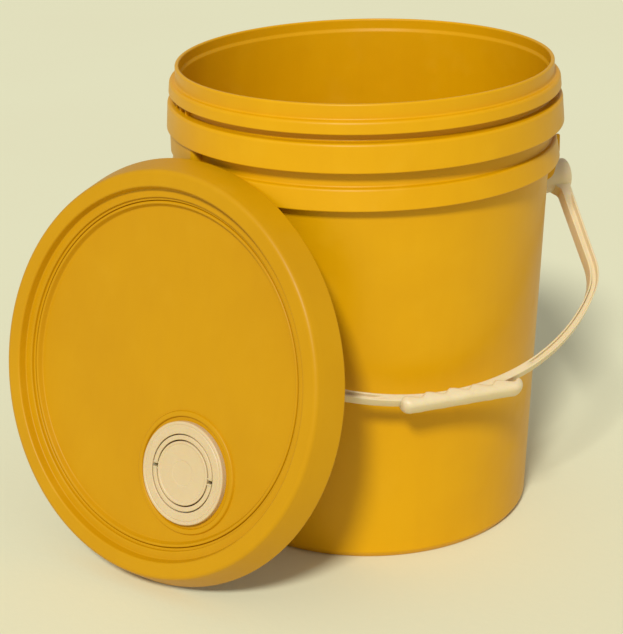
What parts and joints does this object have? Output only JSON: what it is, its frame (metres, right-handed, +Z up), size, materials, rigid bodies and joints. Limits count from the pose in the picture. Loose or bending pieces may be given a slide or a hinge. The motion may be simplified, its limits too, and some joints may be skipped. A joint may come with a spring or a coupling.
{
  "type": "plastic pail with lid",
  "caption": "Open yellow plastic pail with stacking rings and a plastic bail, and a leaning lid that carries a pull-out pour spout.",
  "frame": {"origin": "centre of the pail's base, on the surface it stands on", "axes": "+Z up along the pail's axis, X along the bail's hinge, -Y towards the side where the bail hangs"},
  "size_m": [0.4656, 0.3588, 0.368],
  "materials": {
    "pail_plastic": "yellow moulded polyethylene, satin gloss",
    "lid_plastic": "yellow moulded polyethylene, satin gloss",
    "bail_plastic": "cream moulded polyethylene",
    "spout_plastic": "cream moulded polyethylene",
    "sleeve_plastic": "thin flexible cream polyethylene",
    "gasket_rubber": "dark extruded rubber",
    "liner_foam": "white foamed polyethylene"
  },
  "bodies": {
    "pail": {"pail": "pail_plastic"},
    "bail": {"bail_handle": "bail_plastic"},
    "lid": {"lid_shell": "lid_plastic", "lid_gasket": "gasket_rubber", "spout_ring": "spout_plastic", "spout_gasket": "gasket_rubber", "spout_sleeve": "sleeve_plastic"},
    "spout": {"spout_neck": "spout_plastic", "spout_seal": "sleeve_plastic"},
    "liner": {"cap_liner": "liner_foam"},
    "cap": {"spout_cap": "spout_plastic"},
    "pull_upper": {"cap_pull_upper": "spout_plastic"},
    "pull_lower": {"cap_pull_lower": "spout_plastic"}
  },
  "joints": [
    {"name": "bail_swing", "type": "hinge", "parent": "pail", "child": "bail", "pos_m": [0, 0, 0.252], "axis": [-1, 0, 0], "range_deg": [0, 247]},
    {"name": "lid_tip", "type": "hinge", "parent": "pail", "child": "lid", "pos_m": [-0.23043, -0.09255, 0.006], "axis": [0.5402, -0.8415, 0], "range_deg": [0, 104.5]},
    {"name": "spout_pull", "type": "slide", "parent": "lid", "child": "spout", "axis": [-0.8147, -0.523, 0.2504], "range_m": [0, 0.034], "deforming": ["spout_sleeve"]},
    {"name": "cap_lift", "type": "slide", "parent": "spout", "child": "liner", "axis": [-0.8147, -0.523, 0.2504], "range_m": [0, 0.006]},
    {"name": "cap_turn", "type": "hinge", "parent": "liner", "child": "cap", "pos_m": [-0.19263, -0.10857, 0.09555], "axis": [-0.8147, -0.523, 0.2504], "range_deg": [0, 540]},
    {"name": "pull_upper_lift", "type": "hinge", "parent": "cap", "child": "pull_upper", "pos_m": [-0.1898, -0.10676, 0.09695], "axis": [0.5402, -0.8415, 0], "range_deg": [0, 90]},
    {"name": "pull_lower_lift", "type": "hinge", "parent": "cap", "child": "pull_lower", "pos_m": [-0.19073, -0.10735, 0.09269], "axis": [-0.5402, 0.8415, 0], "range_deg": [0, 90]}
  ],
  "couplings": [
    {"joint": "lid_tip", "follows": "bail_swing", "ratio": 0.42308},
    {"joint": "cap_lift", "follows": "cap_turn", "m_per_rad": 0.00063662}
  ]
}
